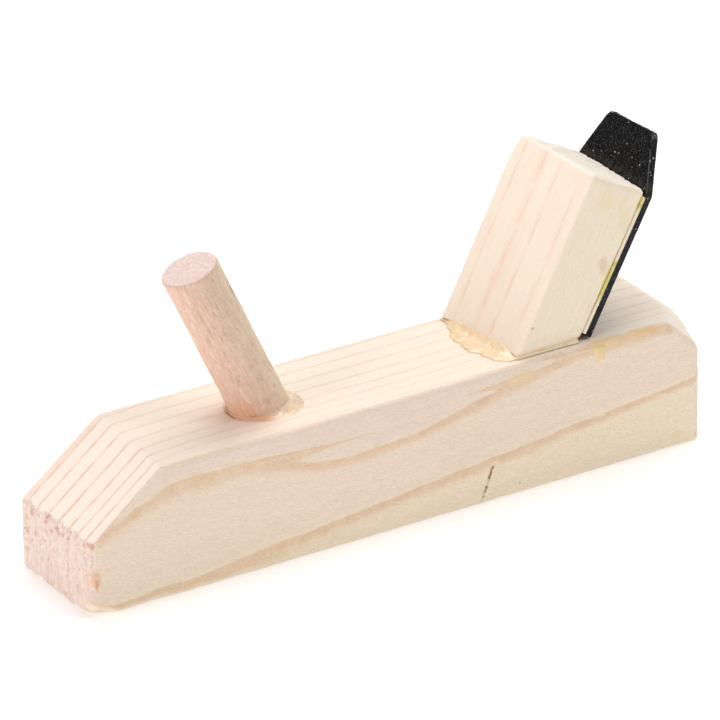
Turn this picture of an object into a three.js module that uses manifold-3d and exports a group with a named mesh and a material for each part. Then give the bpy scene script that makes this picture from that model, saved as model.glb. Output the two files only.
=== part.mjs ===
// A miniature hand plane, 60 mm long, made to be looked at. A softwood stick is the body, a leaning
// beech dowel is the front knob, and a wedge-shaped block carries a thin black iron on its back.
// Everything is glued together, so the set glue is modelled as pieces too.
//
// Millimetres, +Z up. The origin is the centre of the sole. +X runs from the nose to the heel.

import * as THREE from "three";
import { mergeVertices } from "three/addons/utils/BufferGeometryUtils.js";
import Module from "manifold-3d";

const wasm = await Module();
wasm.setup();

// Driving dimensions.
const BODY = { length: 60, width: 11.8, height: 12, eased: 0.25 };
const NOSE = { slope: degrees(37.8), run: 7.2, skew: degrees(3.9) };
const HEEL = { run: 1.6, drop: 1.3, cornerRun: 3.5, cornerDrop: 3.35, cornerWidth: 2.85 };
const KNOB = { diameter: 4.8, lean: degrees(24.7), x: -10.55, y: -0.45, showing: 15.6, hidden: 4.9 };
const KNOB_TOP = { tiltBack: degrees(5.6), tiltAside: degrees(5), eased: 0.25 };
const HOLE = { diameter: 5.2, depth: 5.2 };
const IRON = { lean: degrees(28.4), x: 18.68, y: 0.3, width: 10.4, length: 17.9, thickness: 0.8 };
const IRON_TIP = { shoulder: 13.05, width: 6.2, shift: 0.49, skew: 0.15 };
const WEDGE = { width: 10.2, y: 0.15, depth: 6.98, height: 12.15, eased: 0.25 };
const WEDGE_ANGLES = { front: degrees(27.3), skew: degrees(5.9), top: degrees(28.5) };
const FILM = { thickness: 0.12, gap: 0.02 }; // a glue film, and the clearance on each side of it
const KNOB_FILLET = { foot: 0.75, shoulder: 0.15, height: 0.6, x: 0.2, y: -0.15 };
const BEAD = { reach: 1.9, height: 0.7, slope: degrees(22), set: 0.4, proud: 0.3 };
const DRIP = { x: 19.7, width: 1.4, top: 11.6, bottom: 10.2, thickness: 0.16 };
const ROUND_SIDES = 48;
const BEYOND = 200; // longer than anything in the part

const noseX = -BODY.length / 2;
const heelX = BODY.length / 2;
const nearY = -BODY.width / 2;
const knobRadius = KNOB.diameter / 2;
const layer = FILM.thickness + 2 * FILM.gap; // what a film and its clearances take up

function degrees(value) {
  return THREE.MathUtils.degToRad(value);
}

function point(x, y, z) {
  return new THREE.Vector3(x, y, z);
}

// A three.js geometry as a manifold solid, moved by a matrix.
function solidOf(geometry, matrix = new THREE.Matrix4()) {
  const bare = geometry.clone().applyMatrix4(matrix);
  bare.deleteAttribute("normal");
  bare.deleteAttribute("uv");
  const merged = mergeVertices(bare);
  const vertProperties = merged.attributes.position.array;
  const triVerts = new Uint32Array(merged.index.array);
  return new wasm.Manifold(new wasm.Mesh({ numProp: 3, vertProperties, triVerts }));
}

// A manifold solid as a flat-shaded geometry.
function geometryOf(solid) {
  const mesh = solid.getMesh();
  const geometry = new THREE.BufferGeometry();
  geometry.setAttribute("position", new THREE.BufferAttribute(mesh.vertProperties, mesh.numProp));
  geometry.setIndex(new THREE.BufferAttribute(mesh.triVerts, 1));
  const flat = geometry.toNonIndexed();
  flat.computeVertexNormals();
  return flat;
}

// Everything on the side of a plane that its normal points to.
function beyondPlane(onPlane, normal) {
  const turn = new THREE.Quaternion().setFromUnitVectors(point(0, 0, 1), normal.clone().normalize());
  const centre = normal.clone().setLength(BEYOND / 2).add(onPlane);
  const place = new THREE.Matrix4().compose(centre, turn, point(1, 1, 1));
  return solidOf(new THREE.BoxGeometry(BEYOND, BEYOND, BEYOND), place);
}

// A side outline of [x, z] corners, run across the part from one y to another, with eased edges.
function extrudedAcross(outline, fromY, toY, eased) {
  const shape = new THREE.Shape(outline.map(([x, z]) => new THREE.Vector2(x, z)));
  const geometry = new THREE.ExtrudeGeometry(shape, {
    depth: toY - fromY - 2 * eased,
    bevelEnabled: eased > 0,
    bevelThickness: eased,
    bevelSize: eased,
    bevelOffset: -eased,
    bevelSegments: 1,
  });
  geometry.rotateX(Math.PI / 2);
  geometry.translate(0, toY - eased, 0);
  return solidOf(geometry);
}

function cylinder(radius, bottom, top) {
  const geometry = new THREE.CylinderGeometry(radius, radius, top - bottom, ROUND_SIDES);
  geometry.rotateX(Math.PI / 2);
  geometry.translate(0, 0, (top + bottom) / 2);
  return geometry;
}

function meshOf(name, geometry, material) {
  const mesh = new THREE.Mesh(geometry, material);
  mesh.name = name;
  return mesh;
}

const pine = new THREE.MeshStandardMaterial({ color: 0xf0dfca, roughness: 0.75, metalness: 0 });
const wedgePine = new THREE.MeshStandardMaterial({ color: 0xf5e3d0, roughness: 0.75, metalness: 0 });
const beech = new THREE.MeshStandardMaterial({ color: 0xe6c4ac, roughness: 0.8, metalness: 0 });
const blackIron = new THREE.MeshStandardMaterial({ color: 0x222220, roughness: 0.55, metalness: 0.2 });
const clearGlue = new THREE.MeshStandardMaterial({ color: 0xf3d3a4, roughness: 0.2, metalness: 0 });
const amberGlue = new THREE.MeshStandardMaterial({ color: 0xe8c08a, roughness: 0.25, metalness: 0 });
const yellowGlue = new THREE.MeshStandardMaterial({ color: 0xe0c15a, roughness: 0.3, metalness: 0 });
const dripGlue = new THREE.MeshStandardMaterial({ color: 0xe3cb92, roughness: 0.3, metalness: 0 });

// The knob's frame: its origin is where the dowel's axis crosses the top of the body, and +Z runs up
// the dowel.
const knobSeat = new THREE.Group();
knobSeat.position.set(KNOB.x, KNOB.y, BODY.height);
knobSeat.rotation.y = -KNOB.lean;
knobSeat.updateMatrix();

// The iron's frame: its origin is the bottom of the front face, +Z runs up the iron and +X through it.
// The square-cut foot stands on its back corner, a film's gap above the body.
const ironFoot = BODY.height + FILM.gap + IRON.thickness * Math.sin(IRON.lean);
const ironSeat = new THREE.Group();
ironSeat.position.set(IRON.x, IRON.y, ironFoot);
ironSeat.rotation.y = IRON.lean;
ironSeat.updateMatrix();

// The body: a stick with a sloping nose, a small chamfer along the heel's top edge, a corner of the
// heel sanded away on the near side, and a slanting blind hole for the dowel.
function bodyBlock() {
  const outline = [
    [noseX, 0],
    [heelX, 0],
    [heelX, BODY.height - HEEL.drop],
    [heelX - HEEL.run, BODY.height],
    [noseX, BODY.height],
  ];
  const stick = extrudedAcross(outline, nearY, -nearY, BODY.eased);
  const noseFace = beyondPlane(
    point(noseX + NOSE.run, 0, BODY.height),
    point(-Math.sin(NOSE.slope), Math.sin(NOSE.slope) * Math.tan(NOSE.skew), Math.cos(NOSE.slope)),
  );
  const hole = solidOf(cylinder(HOLE.diameter / 2, -HOLE.depth, knobRadius * 2), knobSeat.matrix);
  return stick.subtract(noseFace).subtract(heelCorner()).subtract(hole);
}

// What is sanded off the heel's top corner on the near side.
function heelCorner() {
  const onTop = point(heelX - HEEL.cornerRun, nearY, BODY.height);
  const onEnd = point(heelX, nearY, BODY.height - HEEL.cornerDrop);
  const inside = point(heelX - HEEL.run, nearY + HEEL.cornerWidth, BODY.height);
  const normal = onEnd.sub(onTop).cross(inside.sub(onTop));
  return beyondPlane(onTop, normal);
}

// The dowel, from the end hidden in the hole to its slightly oblique sawn top.
function frontKnob() {
  const eased = KNOB_TOP.eased;
  const profile = [
    [0, -KNOB.hidden],
    [knobRadius - eased, -KNOB.hidden],
    [knobRadius, -KNOB.hidden + eased],
    [knobRadius, KNOB.showing + knobRadius],
    [0, KNOB.showing + knobRadius],
  ];
  const dowel = new THREE.LatheGeometry(profile.map(([r, z]) => new THREE.Vector2(r, z)), ROUND_SIDES);
  dowel.rotateX(Math.PI / 2);
  const sawCut = beyondPlane(
    point(0, 0, KNOB.showing),
    point(Math.tan(KNOB_TOP.tiltBack), Math.tan(KNOB_TOP.tiltAside), 1),
  );
  return solidOf(dowel).subtract(sawCut);
}

// The glue round the dowel: a cup inside the hole, joined to a fillet on top of the body.
function knobGlue() {
  const cup = solidOf(cylinder(HOLE.diameter / 2 - FILM.gap, FILM.gap - HOLE.depth, knobRadius * 2));
  const fillet = new THREE.CylinderGeometry(
    knobRadius + KNOB_FILLET.shoulder,
    knobRadius + KNOB_FILLET.foot,
    KNOB_FILLET.height,
    ROUND_SIDES,
  );
  fillet.rotateX(Math.PI / 2);
  fillet.translate(0, 0, KNOB_FILLET.height / 2);
  const lean = new THREE.Matrix4().set(
    1 / Math.cos(KNOB.lean), 0, -Math.tan(KNOB.lean), KNOB.x + KNOB_FILLET.x,
    0, 1, 0, KNOB.y + KNOB_FILLET.y,
    0, 0, 1, BODY.height + FILM.gap,
    0, 0, 0, 1,
  );
  const toKnob = knobSeat.matrix.clone().invert();
  const filletHere = solidOf(fillet, toKnob.clone().multiply(lean));
  const up = point(0, 0, 1).transformDirection(toKnob);
  const filletTop = point(0, 0, FILM.gap + KNOB_FILLET.height / 2).applyMatrix4(
    toKnob.clone().multiply(new THREE.Matrix4().makeTranslation(KNOB.x, KNOB.y, BODY.height)),
  );
  const glue = cup.subtract(beyondPlane(filletTop, up)).add(filletHere);
  const dowelSpace = cylinder(knobRadius + FILM.gap, -KNOB.hidden - FILM.gap, KNOB.showing);
  return glue.subtract(solidOf(dowelSpace));
}

// The iron's outline in its own frame: parallel sides up to the shoulders, then a narrow tip whose
// end is not quite square.
function ironOutline() {
  const side = IRON.width / 2;
  const tip = IRON_TIP.width / 2;
  const corners = [
    [-side, 0],
    [side, 0],
    [side, IRON_TIP.shoulder],
    [IRON_TIP.shift + tip, IRON.length - IRON_TIP.skew],
    [IRON_TIP.shift - tip, IRON.length + IRON_TIP.skew],
    [-side, IRON_TIP.shoulder],
  ];
  return new THREE.Shape(corners.map(([y, z]) => new THREE.Vector2(y, z)));
}

// A flat shape drawn in y and z, given a thickness along x.
function plate(shape, fromX, thickness) {
  const geometry = new THREE.ExtrudeGeometry(shape, { depth: thickness, bevelEnabled: false });
  geometry.applyMatrix4(new THREE.Matrix4().set(0, 0, 1, fromX, 1, 0, 0, 0, 0, 1, 0, 0, 0, 0, 0, 1));
  return geometry;
}

// The film between the iron and the wedge, which stands a little proud of the wedge's near side.
function ironGlue() {
  const shape = new THREE.Shape();
  const low = 0.3;
  const high = IRON_TIP.shoulder - low;
  const near = -WEDGE.width / 2 + WEDGE.y - IRON.y - FILM.thickness;
  const far = WEDGE.width / 2 + WEDGE.y - IRON.y - low;
  shape.moveTo(near, low).lineTo(far, low).lineTo(far, high).lineTo(near, high).closePath();
  return plate(shape, -FILM.gap - FILM.thickness, FILM.thickness);
}

// Where the wedge's back face meets a level: one glue layer in front of the iron.
function wedgeBackX(z) {
  return IRON.x + (z - ironFoot) * Math.tan(IRON.lean) - layer / Math.cos(IRON.lean);
}

const wedgeFoot = BODY.height + layer;
const wedgeBackTop = wedgeFoot + WEDGE.height;
const wedgeFrontFoot = point(wedgeBackX(wedgeFoot) - WEDGE.depth, WEDGE.y, wedgeFoot);
const wedgeFrontNormal = point(
  -Math.cos(WEDGE_ANGLES.front),
  -Math.cos(WEDGE_ANGLES.front) * Math.tan(WEDGE_ANGLES.skew),
  Math.sin(WEDGE_ANGLES.front),
);

// The wedge: a slice of stick whose back takes the iron, with its front face slightly askew.
function wedgeBlock() {
  const frontX = wedgeFrontFoot.x - WEDGE.width / 2;
  const backTopX = wedgeBackX(wedgeBackTop);
  const outline = [
    [frontX, wedgeFoot],
    [wedgeBackX(wedgeFoot), wedgeFoot],
    [backTopX, wedgeBackTop],
    [frontX, wedgeBackTop + (backTopX - frontX) * Math.tan(WEDGE_ANGLES.top)],
  ];
  const half = WEDGE.width / 2;
  const slice = extrudedAcross(outline, WEDGE.y - half, WEDGE.y + half, WEDGE.eased);
  return slice.subtract(beyondPlane(wedgeFrontFoot, wedgeFrontNormal));
}

// The glue under the wedge: a film that stands proud of the wedge's near side, joined to the bead that
// was squeezed out in front of it.
function wedgeGlue() {
  const inset = 0.3;
  const half = WEDGE.width / 2;
  const backX = wedgeBackX(wedgeFoot) - inset;
  const frontX = wedgeFrontFoot.x;
  const bottom = BODY.height + FILM.gap;
  const film = new THREE.Shape();
  film.moveTo(frontX + inset, WEDGE.y - half - BEAD.proud);
  film.lineTo(backX, WEDGE.y - half - BEAD.proud);
  film.lineTo(backX, WEDGE.y + half - inset);
  film.lineTo(frontX - inset, WEDGE.y + half - inset);
  film.lineTo(frontX - inset, WEDGE.y - half + inset);
  film.closePath();
  const filmGeometry = new THREE.ExtrudeGeometry(film, { depth: FILM.thickness, bevelEnabled: false });
  filmGeometry.translate(0, 0, bottom);

  const bead = new THREE.Shape();
  bead.moveTo(frontX + BEAD.reach, WEDGE.y - half);
  bead.bezierCurveTo(
    frontX - BEAD.reach, WEDGE.y - half,
    frontX - BEAD.reach - BEAD.set, WEDGE.y - half / 2,
    frontX - BEAD.reach, WEDGE.y,
  );
  bead.bezierCurveTo(
    frontX - BEAD.reach - BEAD.set, WEDGE.y + half / 2,
    frontX - BEAD.reach, WEDGE.y + half,
    frontX, WEDGE.y + half,
  );
  bead.closePath();
  const beadGeometry = new THREE.ExtrudeGeometry(bead, { depth: BEAD.height, bevelEnabled: false });
  beadGeometry.translate(0, 0, bottom);
  const outerEdge = point(frontX - BEAD.reach - BEAD.set, WEDGE.y, bottom + FILM.thickness);
  const beadTop = beyondPlane(outerEdge, point(-Math.sin(BEAD.slope), 0, Math.cos(BEAD.slope)));
  const inFront = wedgeFrontFoot.clone().addScaledVector(wedgeFrontNormal, FILM.gap);
  const underWedge = beyondPlane(inFront, wedgeFrontNormal.clone().negate());
  const beadSolid = solidOf(beadGeometry).subtract(beadTop).subtract(underWedge);
  return solidOf(filmGeometry).add(beadSolid);
}

// The glue that ran over the edge and down the near side: a flat lobe with a round end.
function glueDrip() {
  const radius = DRIP.width / 4;
  const left = DRIP.x - DRIP.width / 2;
  const right = DRIP.x + DRIP.width / 2;
  const shape = new THREE.Shape();
  shape.moveTo(left, DRIP.top);
  shape.lineTo(DRIP.x - radius, DRIP.bottom + radius);
  shape.absarc(DRIP.x, DRIP.bottom + radius, radius, Math.PI, 2 * Math.PI, false);
  shape.lineTo(right, DRIP.top);
  shape.closePath();
  const geometry = new THREE.ExtrudeGeometry(shape, { depth: DRIP.thickness, bevelEnabled: false });
  geometry.rotateX(Math.PI / 2);
  geometry.translate(0, nearY - FILM.gap, 0);
  return geometry;
}

const plane = new THREE.Group();
plane.add(meshOf("body_block", geometryOf(bodyBlock()), pine));
plane.add(meshOf("wedge_block", geometryOf(wedgeBlock()), wedgePine));
plane.add(meshOf("wedge_glue", geometryOf(wedgeGlue()), amberGlue));
plane.add(meshOf("glue_drip", glueDrip(), dripGlue));

knobSeat.add(meshOf("front_knob", geometryOf(frontKnob()), beech));
knobSeat.add(meshOf("knob_glue", geometryOf(knobGlue()), clearGlue));
plane.add(knobSeat);

ironSeat.add(meshOf("plane_iron", plate(ironOutline(), 0, IRON.thickness), blackIron));
ironSeat.add(meshOf("iron_glue", ironGlue(), yellowGlue));
plane.add(ironSeat);

export default plane;
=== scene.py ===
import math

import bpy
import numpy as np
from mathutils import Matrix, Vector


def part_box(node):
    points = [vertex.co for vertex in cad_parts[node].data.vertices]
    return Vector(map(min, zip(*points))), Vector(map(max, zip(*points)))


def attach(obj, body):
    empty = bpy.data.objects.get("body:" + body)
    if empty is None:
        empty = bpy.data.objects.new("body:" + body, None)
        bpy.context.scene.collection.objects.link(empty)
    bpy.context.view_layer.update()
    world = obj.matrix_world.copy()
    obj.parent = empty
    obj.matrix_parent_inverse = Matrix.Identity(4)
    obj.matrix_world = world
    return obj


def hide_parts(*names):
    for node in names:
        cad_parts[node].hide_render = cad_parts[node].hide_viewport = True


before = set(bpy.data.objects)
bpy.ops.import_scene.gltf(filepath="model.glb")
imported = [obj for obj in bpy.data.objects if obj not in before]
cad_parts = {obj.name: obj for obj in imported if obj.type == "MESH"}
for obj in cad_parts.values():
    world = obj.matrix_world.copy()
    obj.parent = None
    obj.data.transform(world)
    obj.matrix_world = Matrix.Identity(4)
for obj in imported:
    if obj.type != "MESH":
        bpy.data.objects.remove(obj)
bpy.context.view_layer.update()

# A miniature wooden hand plane on a pale floor.
#
# Every piece is polygonised from a distance formula. Its planes and axes are read from the CAD node that
# it stands for. Formulas are in millimetres and meshes are made in metres. One ring formula gives both
# the colour and the relief of the body's softwood.

MM = 0.001
ROOT = "root"


# ---------------- reading the frame


def node_points(node):
    """A CAD node's corners in mm."""
    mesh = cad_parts[node].data
    return np.array([v.co for v in mesh.vertices]) / MM


def flat_faces(node, smallest=1.0):
    """A node's flat faces over a smallest area in mm2, largest first: (outward normal, offset, centre)."""
    groups = {}
    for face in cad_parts[node].data.polygons:
        normal = np.array(face.normal)
        centre = np.array(face.center) / MM
        key = tuple(np.round([*normal, normal @ centre], 2))
        groups.setdefault(key, []).append((face.area / MM**2, normal, centre))
    planes = []
    for members in groups.values():
        areas = np.array([area for area, _, _ in members])
        normal = members[int(areas.argmax())][1]
        centre = sum(area * c for area, _, c in members) / areas.sum()
        planes.append((areas.sum(), normal, float(normal @ centre), centre))
    planes.sort(key=lambda plane: -plane[0])
    return [(normal, offset, centre) for area, normal, offset, centre in planes if area >= smallest]


def outer_planes(node):
    """(normal, offset) of each flat face that has the whole node behind it."""
    points = node_points(node)
    return [(n, offset) for n, offset, _ in flat_faces(node) if (points @ n).max() < offset + 0.05]


def box_mm(node):
    low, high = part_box(node)
    return np.array(low) / MM, np.array(high) / MM


def facing(node, direction):
    """The node's large flat face that looks most nearly along a direction: (normal, offset)."""
    normal, offset, _ = max(flat_faces(node, 5.0), key=lambda face: face[0] @ np.array(direction))
    return tuple(float(part) for part in normal), float(offset)


# ---------------- numbers that vary in space


def hashed(ix, iy, iz, seed):
    """A repeatable number from -1 to 1 for each lattice point, by the usual 32-bit mixing steps."""
    mixed = ix * np.uint32(374761393) + iy * np.uint32(668265263) + iz * np.uint32(2246822519)
    mixed = mixed + np.uint32(seed * 3266489917 % 2**32)
    mixed = (mixed ^ (mixed >> np.uint32(15))) * np.uint32(2246822519)
    mixed = (mixed ^ (mixed >> np.uint32(13))) * np.uint32(3266489917)
    mixed = mixed ^ (mixed >> np.uint32(16))
    return mixed.astype(np.float64) / 2**31 - 1


def noise(x, y, z, seed):
    """Smooth noise from -1 to 1 with features one unit across."""
    whole = [np.floor(v) for v in (x, y, z)]
    parts = [v - w for v, w in zip((x, y, z), whole)]
    eased = [p * p * (3 - 2 * p) for p in parts]
    corner = [w.astype(np.int64).astype(np.uint32) for w in whole]
    total = 0
    for dx in (0, 1):
        for dy in (0, 1):
            for dz in (0, 1):
                weight = 1
                for step, share in zip((dx, dy, dz), eased):
                    weight = weight * (share if step else 1 - share)
                shifted = [c + np.uint32(s) for c, s in zip(corner, (dx, dy, dz))]
                total = total + weight * hashed(*shifted, seed)
    return total


def smooth_step(low, high, value):
    """0 below low, 1 above high, smooth between, for an array or a shader field."""
    if isinstance(value, Field):
        return value.smooth_step(low, high)
    share = np.clip((value - low) / (high - low), 0, 1)
    return share * share * (3 - 2 * share)


def fade(low, high, value):
    """1 below low, 0 above high, smooth between."""
    return 1.0 - smooth_step(low, high, value)


def at_least(value, floor):
    return value.math("MAXIMUM", floor) if isinstance(value, Field) else np.maximum(value, floor)


def sine(value):
    return value.math("SINE") if isinstance(value, Field) else np.sin(value)


def hump(centre, half_width, value):
    """1 at the centre, falling smoothly to 0 at half a width away."""
    return fade(0.0, half_width, abs(value - centre))


# ---------------- distance formulas


def above(plane, x, y, z):
    """Distance in front of a plane given as (normal, offset), for arrays or shader fields."""
    normal, offset = plane
    return x * normal[0] + y * normal[1] + z * normal[2] - offset


def convex(planes, eased, x, y, z):
    """Distance to a solid bounded by planes, its edges eased. The easing may vary from point to point."""
    deepest = None
    outside = 0
    for plane in planes:
        depth = above(plane, x, y, z) + eased
        deepest = depth if deepest is None else np.maximum(deepest, depth)
        outside = outside + np.maximum(depth, 0) ** 2
    return np.minimum(deepest, 0) + np.sqrt(outside) - eased


def carved(base, reach, relief, x, y, z):
    """A distance with relief cut into it, worked out only within reach of the surface."""
    near = np.abs(base) < reach
    result = base.copy()
    result[near] += relief(x[near], y[near], z[near])
    return result


def along_axis(axis, x, y, z):
    """(distance along, distance from) an axis given as (origin, unit direction)."""
    origin, way = axis
    dx, dy, dz = x - origin[0], y - origin[1], z - origin[2]
    along = dx * way[0] + dy * way[1] + dz * way[2]
    radial = np.sqrt(np.maximum(dx * dx + dy * dy + dz * dz - along * along, 0))
    return along, radial


# ---------------- polygoniser

EDGE_ENDS = [
    (a, tuple(a[k] + (k == axis) for k in range(3)))
    for axis in range(3)
    for a in [(i, j, k) for i in (0, 1) for j in (0, 1) for k in (0, 1)]
    if a[axis] == 0
]


def net_vertices(value, grid):
    """One vertex for each grid cell that the surface passes through, and the cells' vertex numbers."""
    cells = tuple(n - 1 for n in value.shape)
    total = np.zeros(cells + (3,))
    crossings = np.zeros(cells)

    def at(array, corner):
        return array[tuple(slice(c, c + n) for c, n in zip(corner, cells))]

    for first, second in EDGE_ENDS:
        a, b = at(value, first), at(value, second)
        crossed = (a < 0) != (b < 0)
        share = np.where(crossed, a / np.where(crossed, a - b, 1), 0)
        for k in range(3):
            start, end = at(grid[k], first), at(grid[k], second)
            total[..., k] += crossed * (start + share * (end - start))
        crossings += crossed
    used = crossings > 0
    number = np.full(cells, -1)
    number[used] = np.arange(used.sum())
    return total[used] / crossings[used][:, None], number


def net_quads(value, number):
    """A quad across each grid edge that the surface cuts."""
    inside = value < 0
    quads = []
    for axis in range(3):
        u, v = (axis + 1) % 3, (axis + 2) % 3
        lower = np.take(inside, range(0, inside.shape[axis] - 1), axis)
        upper = np.take(inside, range(1, inside.shape[axis]), axis)
        where = np.argwhere(lower != upper)
        leaving = lower[lower != upper]
        corners = []
        for du, dv in ((0, 0), (1, 0), (1, 1), (0, 1)):
            cell = where.copy()
            cell[:, u] -= 1 - du
            cell[:, v] -= 1 - dv
            corners.append(number[tuple(cell.T)])
        faces = np.stack(corners, 1)
        faces[~leaving] = faces[~leaving][:, ::-1]
        quads.append(faces)
    return np.concatenate(quads)


def turn_about_y(way):
    """A frame as columns: its z runs along way, its y is the row's y."""
    side = np.array([0.0, 1.0, 0.0])
    across = np.cross(side, way)
    across /= np.linalg.norm(across)
    return np.stack([across, np.cross(way, across), way], 1)


def spaced(low, high, step):
    return np.arange(low, high + step, step)


def grid_over(nodes, steps, turn=np.eye(3), margin=0.4):
    """Grid lines in a turned frame, with one step for each direction, over the nodes' corners."""
    points = np.concatenate([node_points(node) for node in nodes]) @ turn
    low, high = points.min(0) - margin, points.max(0) + margin
    return [spaced(a, b, step) for a, b, step in zip(low, high, steps)], turn


def make_mesh(name, vertices, quads):
    """A mesh in metres from corners in mm and their quads."""
    mesh = bpy.data.meshes.new(name)
    mesh.vertices.add(len(vertices))
    mesh.vertices.foreach_set("co", (vertices * MM).astype(np.float32).ravel())
    mesh.loops.add(quads.size)
    mesh.loops.foreach_set("vertex_index", quads.astype(np.int32).ravel())
    mesh.polygons.add(len(quads))
    mesh.polygons.foreach_set("loop_start", np.arange(0, quads.size, 4, dtype=np.int32))
    mesh.update(calc_edges=True)
    mesh.shade_smooth()
    return mesh


def piece(name, nodes, material, distance, grid):
    """A mesh object from a distance formula. It takes the place of the CAD nodes."""
    lines, turn = grid
    local = np.meshgrid(*lines, indexing="ij")
    world = [sum(turn[row, k] * local[k] for k in range(3)) for row in range(3)]
    value = distance(*world)
    vertices, number = net_vertices(value, world)
    mesh = make_mesh(name, vertices, net_quads(value, number))
    mesh.materials.append(material)
    made = bpy.data.objects.new(name, mesh)
    bpy.context.scene.collection.objects.link(made)
    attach(made, ROOT)
    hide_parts(*nodes)


# ---------------- shader fields


def join(tree, value, socket):
    """Links a field to a socket, or sets a plain value there."""
    if isinstance(value, Field):
        tree.links.new(value.socket, socket)
    else:
        socket.default_value = value


class Field:
    """A value that varies over a surface: one shader socket, with arithmetic."""

    def __init__(self, tree, socket):
        self.tree = tree
        self.socket = socket

    def math(self, operation, *others):
        node = self.tree.nodes.new("ShaderNodeMath")
        node.operation = operation
        for value, socket in zip((self, *others), node.inputs):
            join(self.tree, value, socket)
        return Field(self.tree, node.outputs[0])

    def __add__(self, other):
        return self.math("ADD", other)

    def __mul__(self, other):
        return self.math("MULTIPLY", other)

    def __sub__(self, other):
        return self.math("SUBTRACT", other)

    def __rsub__(self, other):
        return self.math("MULTIPLY", -1.0) + other

    def __truediv__(self, other):
        return self.math("DIVIDE", other)

    def __pow__(self, other):
        return self.math("POWER", other)

    def __neg__(self):
        return self.math("MULTIPLY", -1.0)

    def __abs__(self):
        return self.math("ABSOLUTE")

    def __mod__(self, other):
        return (self / other).math("FRACT") * other

    __radd__ = __add__
    __rmul__ = __mul__

    def smooth_step(self, low, high):
        node = self.tree.nodes.new("ShaderNodeMapRange")
        node.interpolation_type = "SMOOTHSTEP"
        join(self.tree, self, node.inputs["Value"])
        join(self.tree, low, node.inputs["From Min"])
        join(self.tree, high, node.inputs["From Max"])
        return Field(self.tree, node.outputs["Result"])


class Paint:
    """One material in the making: position fields in mm, noises, colour mixing and the surface."""

    def __init__(self, name):
        self.material = bpy.data.materials.new(name)
        self.material.use_nodes = True
        self.tree = self.material.node_tree
        self.shader = self.tree.nodes["Principled BSDF"]
        place = self.tree.nodes.new("ShaderNodeTexCoord")
        self.x, self.y, self.z = (part * (1 / MM) for part in self.split(place.outputs["Object"]))

    def split(self, socket):
        node = self.tree.nodes.new("ShaderNodeSeparateXYZ")
        self.tree.links.new(socket, node.inputs[0])
        return [Field(self.tree, output) for output in node.outputs]

    def texture(self, kind, x, y, z):
        joined = self.tree.nodes.new("ShaderNodeCombineXYZ")
        for value, socket in zip((x, y, z), joined.inputs):
            join(self.tree, value, socket)
        node = self.tree.nodes.new(kind)
        node.inputs["Scale"].default_value = 1.0
        self.tree.links.new(joined.outputs[0], node.inputs["Vector"])
        return node

    def noise(self, x, y, z, detail=2.0, rough=0.5, seed=0):
        """Noise around 0, mostly within -1 to 1, over scaled coordinates."""
        node = self.texture("ShaderNodeTexNoise", x + seed * 17.3, y + seed * 5.1, z)
        node.inputs["Detail"].default_value = detail
        node.inputs["Roughness"].default_value = rough
        return (Field(self.tree, node.outputs["Fac"]) - 0.5) * 3.0

    def spots(self, x, y, z, size):
        """1 inside scattered dots, over scaled coordinates where the dots are about one unit apart."""
        node = self.texture("ShaderNodeTexVoronoi", x, y, z)
        return fade(size * 0.6, size, Field(self.tree, node.outputs["Distance"]))

    def normal(self):
        """The surface's own direction in the row frame, as three fields."""
        node = self.tree.nodes.new("ShaderNodeNewGeometry")
        return self.split(node.outputs["Normal"])

    def mix(self, share, first, second):
        """A colour: first where share is 0, second where it is 1."""
        node = self.tree.nodes.new("ShaderNodeMix")
        node.data_type = "RGBA"
        join(self.tree, share, node.inputs[0])
        join(self.tree, first, node.inputs[6])
        join(self.tree, second, node.inputs[7])
        return Field(self.tree, node.outputs[2])

    def shade(self, colour, amount):
        """A colour made brighter or darker by a factor."""
        node = self.tree.nodes.new("ShaderNodeHueSaturation")
        join(self.tree, colour, node.inputs["Color"])
        join(self.tree, amount, node.inputs["Value"])
        return Field(self.tree, node.outputs[0])

    def finish(self, colour, roughness, height, depth, **settings):
        """Joins the surface up. The bump's depth is in mm; settings are constant shader inputs."""
        join(self.tree, colour, self.shader.inputs["Base Color"])
        join(self.tree, roughness, self.shader.inputs["Roughness"])
        for name, value in settings.items():
            self.shader.inputs[name.replace("_", " ")].default_value = value
        bump = self.tree.nodes.new("ShaderNodeBump")
        bump.inputs["Distance"].default_value = depth * MM
        join(self.tree, height, bump.inputs["Height"])
        self.tree.links.new(bump.outputs[0], self.shader.inputs["Normal"])
        return self.material


def srgb(red, green, blue):
    """A colour given on the 0 to 255 display scale, as linear RGBA."""
    return (*[((v / 255 + 0.055) / 1.055) ** 2.4 for v in (red, green, blue)], 1.0)


# ---------------- places on the object

body_low, body_high = box_mm("body_block")
NOSE_X, NEAR_Y, SOLE_Z = body_low
HEEL_X, FAR_Y, TOP_Z = body_high


def dowel_axis():
    """The knob's axis as (bottom centre, unit direction), with its length and radius."""
    ends = sorted((centre for _, _, centre in flat_faces("front_knob")[:2]), key=lambda centre: centre[2])
    way = (ends[1] - ends[0]) / np.linalg.norm(ends[1] - ends[0])
    axis = (ends[0], way)
    _, radial = along_axis(axis, *node_points("front_knob").T)
    return axis, np.linalg.norm(ends[1] - ends[0]), radial.max()


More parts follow.
